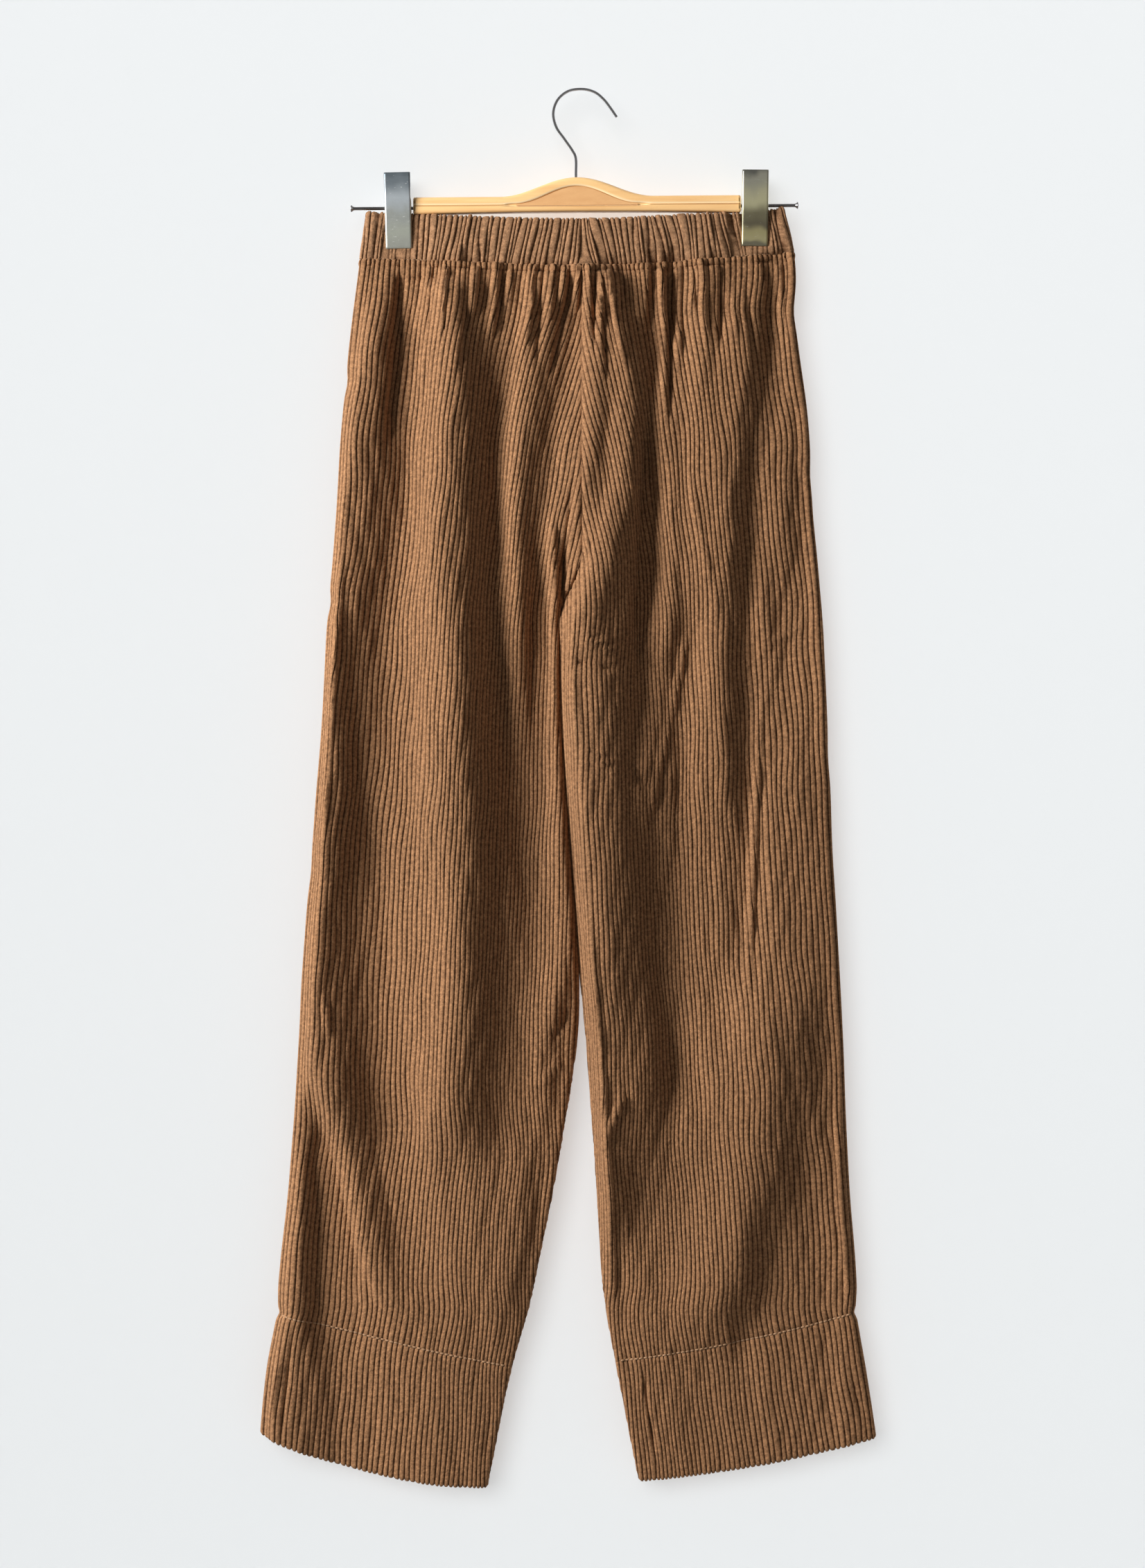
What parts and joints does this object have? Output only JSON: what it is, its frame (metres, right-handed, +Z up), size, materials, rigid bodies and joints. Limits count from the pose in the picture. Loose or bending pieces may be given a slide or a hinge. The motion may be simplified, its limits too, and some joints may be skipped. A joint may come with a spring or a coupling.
{
  "type": "corduroy pull-on trousers on a wooden clip hanger",
  "caption": "Wide-wale corduroy pull-on trousers with an elastic waistband and deep turned-up hems, hung by the waist from a wooden clip hanger with a wire hook.",
  "frame": {"origin": "inside of the top of the hook, where a rail carries the hanger", "axes": "+Z up, +X to the right as seen from the garment's back, +Y from the garment's back to its front"},
  "size_m": [0.4786, 0.0455, 1.09],
  "materials": {
    "corduroy": "wide-wale cotton corduroy, brown, soft cut pile",
    "waist_corduroy": "the same corduroy, gathered round an elastic",
    "bar_wood": "pale beech, clear satin lacquer",
    "inlay_wood": "bare sanded beech",
    "hook_chrome": "bright plated wire",
    "rod_steel": "dark drawn steel",
    "clip_steel": "pressed steel, rubbed bright"
  },
  "bodies": {
    "root": {"back_leg_left": "corduroy", "back_leg_right": "corduroy", "front_leg_left": "corduroy", "front_leg_right": "corduroy", "hem_back_left": "corduroy", "hem_back_right": "corduroy", "hem_front_left": "corduroy", "hem_front_right": "corduroy", "waistband_back": "waist_corduroy", "waistband_front": "waist_corduroy", "hanger_bar": "bar_wood", "hanger_inlay_back": "inlay_wood", "hanger_inlay_front": "inlay_wood", "hanger_hook": "hook_chrome", "hanger_rod_left": "rod_steel", "hanger_rod_right": "rod_steel", "clip_left_back": "clip_steel", "clip_left_front": "clip_steel", "clip_left_spring": "rod_steel", "clip_right_back": "clip_steel", "clip_right_front": "clip_steel", "clip_right_spring": "rod_steel"}
  },
  "joints": []
}
